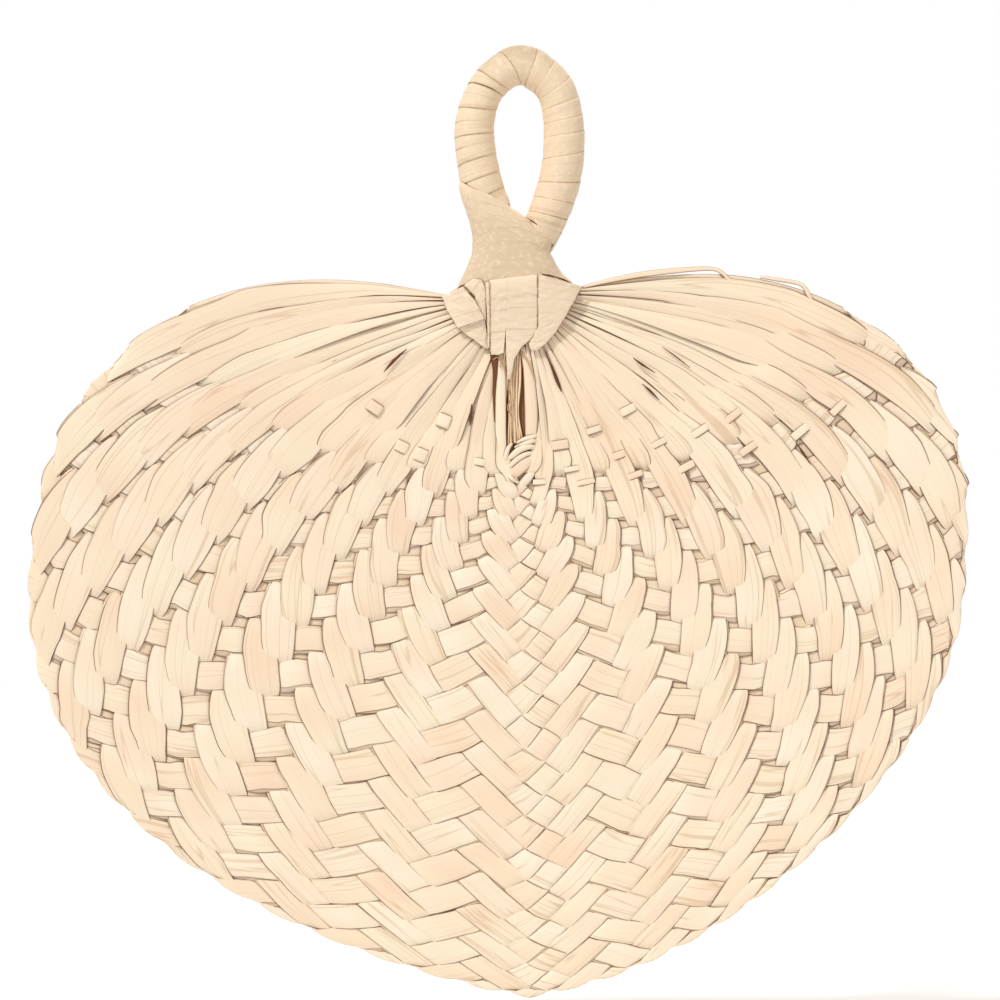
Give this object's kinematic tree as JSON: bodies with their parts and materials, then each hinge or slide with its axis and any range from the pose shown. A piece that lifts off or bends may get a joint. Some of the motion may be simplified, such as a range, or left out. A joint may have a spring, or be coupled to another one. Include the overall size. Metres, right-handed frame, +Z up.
{
  "type": "plaited hand fan",
  "caption": "Round palm-leaf hand fan, plaited in herringbone from leaf strips folded back at the rim, with a bound neck and a wrapped hanging loop.",
  "frame": {"origin": "inside top of the hanging loop's hole, midway between its front and back", "axes": "+Z up, towards the top of the loop; +Y from the front of the blade to its back; +X to the right, seen from the front"},
  "size_m": [0.2806, 0.0126, 0.284],
  "materials": {
    "pale_leaf": "satin dried leaf, palest",
    "straw_leaf": "satin dried leaf, straw",
    "binding_leaf": "matt dried leaf, tan",
    "inner_leaf": "matt leaf bundle, tan"
  },
  "bodies": {
    "root": {"leaf_strip_01": "pale_leaf", "leaf_strip_02": "straw_leaf", "leaf_strip_03": "pale_leaf", "leaf_strip_04": "straw_leaf", "leaf_strip_05": "pale_leaf", "leaf_strip_06": "straw_leaf", "leaf_strip_07": "pale_leaf", "leaf_strip_08": "straw_leaf", "leaf_strip_09": "pale_leaf", "leaf_strip_10": "straw_leaf", "leaf_strip_11": "pale_leaf", "leaf_strip_12": "straw_leaf", "leaf_strip_13": "pale_leaf", "leaf_strip_14": "straw_leaf", "leaf_strip_15": "pale_leaf", "leaf_strip_16": "straw_leaf", "leaf_strip_17": "pale_leaf", "leaf_strip_18": "straw_leaf", "leaf_strip_19": "pale_leaf", "leaf_strip_20": "straw_leaf", "leaf_strip_21": "pale_leaf", "leaf_strip_22": "straw_leaf", "leaf_strip_23": "pale_leaf", "leaf_strip_24": "straw_leaf", "leaf_strip_25": "pale_leaf", "leaf_strip_26": "straw_leaf", "leaf_strip_27": "pale_leaf", "leaf_strip_28": "straw_leaf", "leaf_strip_29": "pale_leaf", "leaf_strip_30": "straw_leaf", "leaf_strip_31": "pale_leaf", "leaf_strip_32": "straw_leaf", "leaf_strip_33": "pale_leaf", "leaf_strip_34": "straw_leaf", "leaf_strip_35": "pale_leaf", "leaf_strip_36": "straw_leaf", "leaf_strip_37": "pale_leaf", "leaf_strip_38": "straw_leaf", "leaf_strip_39": "pale_leaf", "loop_core": "inner_leaf", "loop_winding": "binding_leaf", "neck_core": "inner_leaf", "neck_winding": "binding_leaf", "gathered_root": "straw_leaf", "collar_left_flap": "binding_leaf", "collar_tongue": "binding_leaf", "collar_right_flap": "binding_leaf", "collar_back_flap": "binding_leaf", "middle_fibre": "binding_leaf"}
  },
  "joints": []
}
